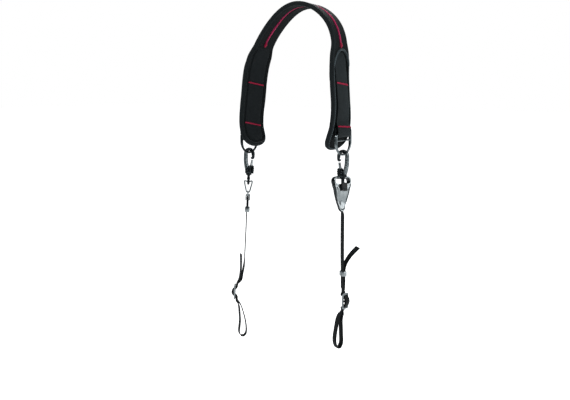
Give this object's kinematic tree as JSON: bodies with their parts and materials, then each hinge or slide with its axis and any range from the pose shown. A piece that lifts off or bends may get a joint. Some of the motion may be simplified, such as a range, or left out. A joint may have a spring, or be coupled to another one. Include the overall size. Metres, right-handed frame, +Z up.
{
  "type": "camera neck strap",
  "caption": "Padded neck strap with red piping; a swivel snap hook at each end carries a narrow adjustable strap with a slider, a keeper and a loop for a lug.",
  "frame": {"origin": "middle of the crown's underside, where the strap rests on the neck", "axes": "+Z up, X from one lug strap to the other (+X is the side with the pear-shaped clip), -Y the front; the padded arch lies in the XZ plane"},
  "size_m": [0.1895, 0.045, 0.4509],
  "materials": {
    "pad_fabric": "matte woven nylon over foam",
    "webbing": "matte nylon webbing",
    "red_piping": "satin corded piping",
    "black_nickel": "black nickel plate",
    "bright_nickel": "bright nickel plate"
  },
  "bodies": {
    "arch": {"shoulder_pad": "pad_fabric", "piping_inner": "red_piping", "piping_outer": "red_piping", "tab_left": "webbing", "tab_right": "webbing", "ring_left": "black_nickel", "ring_right": "black_nickel", "hook_left": "black_nickel", "hook_right": "black_nickel"},
    "gate_left": {"gate_left": "bright_nickel"},
    "gate_right": {"gate_right": "bright_nickel"},
    "drop_left": {"swivel_left": "black_nickel", "link_left": "black_nickel", "clamp_left": "bright_nickel", "strap_left": "webbing", "keeper_left": "bright_nickel", "slider_left": "bright_nickel"},
    "drop_right": {"swivel_right": "black_nickel", "clip_right": "bright_nickel", "strap_right": "webbing", "keeper_right": "bright_nickel", "slider_right": "bright_nickel"}
  },
  "joints": [
    {"name": "gate_left_hinge", "type": "hinge", "parent": "arch", "child": "gate_left", "pos_m": [-0.08499, 0, -0.20777], "axis": [0, -1, 0], "range_deg": [0, 25], "stiffness_Nm_per_rad": 0.01, "springref_deg": -20.05},
    {"name": "gate_right_hinge", "type": "hinge", "parent": "arch", "child": "gate_right", "pos_m": [0.0562, 0, -0.2044], "axis": [0, 1, 0], "range_deg": [0, 25], "stiffness_Nm_per_rad": 0.01, "springref_deg": -20.05},
    {"name": "swivel_left_turn", "type": "hinge", "parent": "arch", "child": "drop_left", "pos_m": [-0.0876, 0, -0.19], "axis": [0.0558, 0, 0.9984], "continuous": true},
    {"name": "swivel_right_turn", "type": "hinge", "parent": "arch", "child": "drop_right", "pos_m": [0.0598, 0, -0.1868], "axis": [0, 0, 1], "continuous": true}
  ]
}
